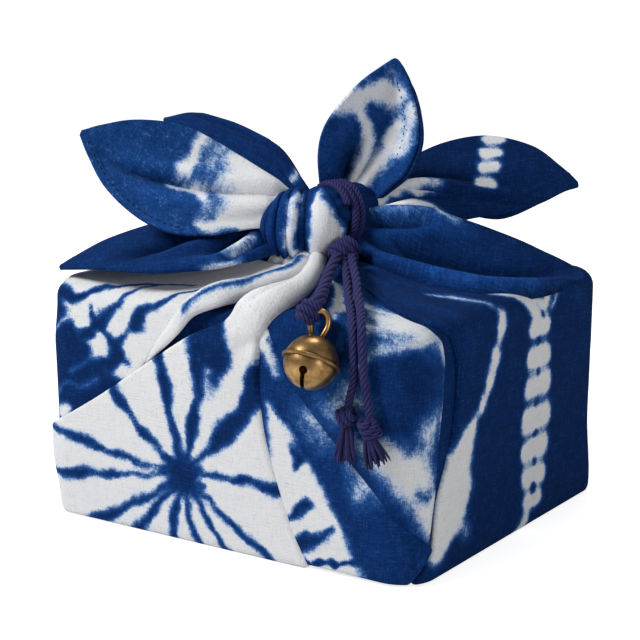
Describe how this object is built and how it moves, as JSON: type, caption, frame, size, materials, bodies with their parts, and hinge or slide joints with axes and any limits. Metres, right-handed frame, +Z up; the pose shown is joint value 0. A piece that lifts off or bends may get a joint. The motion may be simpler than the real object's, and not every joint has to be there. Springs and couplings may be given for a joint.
{
  "type": "furoshiki-wrapped gift box",
  "caption": "Square of tie-dyed cotton wrapped over a low box and knotted on top in leaf-like ears, with a twisted cord and a small round bell.",
  "frame": {"origin": "middle of the flat underside of the wrapped box", "axes": "+Z up; -Y out of the front face with the pointed flap; +X out of the side with the deep fold"},
  "size_m": [0.1641, 0.1682, 0.1732],
  "materials": {
    "dyed_cotton": "matt plain-weave cotton, indigo with undyed white",
    "cord": "purple-navy three-strand twist",
    "antique_brass": "brushed, dulled brass"
  },
  "bodies": {
    "root": {"furoshiki_cloth": "dyed_cotton", "cord_wrap": "cord", "cord_knot_neck": "cord", "cord_bell_strand": "cord", "cord_knot_bell": "cord", "cord_left_tail": "cord", "cord_right_tail": "cord", "tassel_left": "cord", "tassel_right": "cord", "bell": "antique_brass", "bell_loop": "antique_brass"}
  },
  "joints": []
}
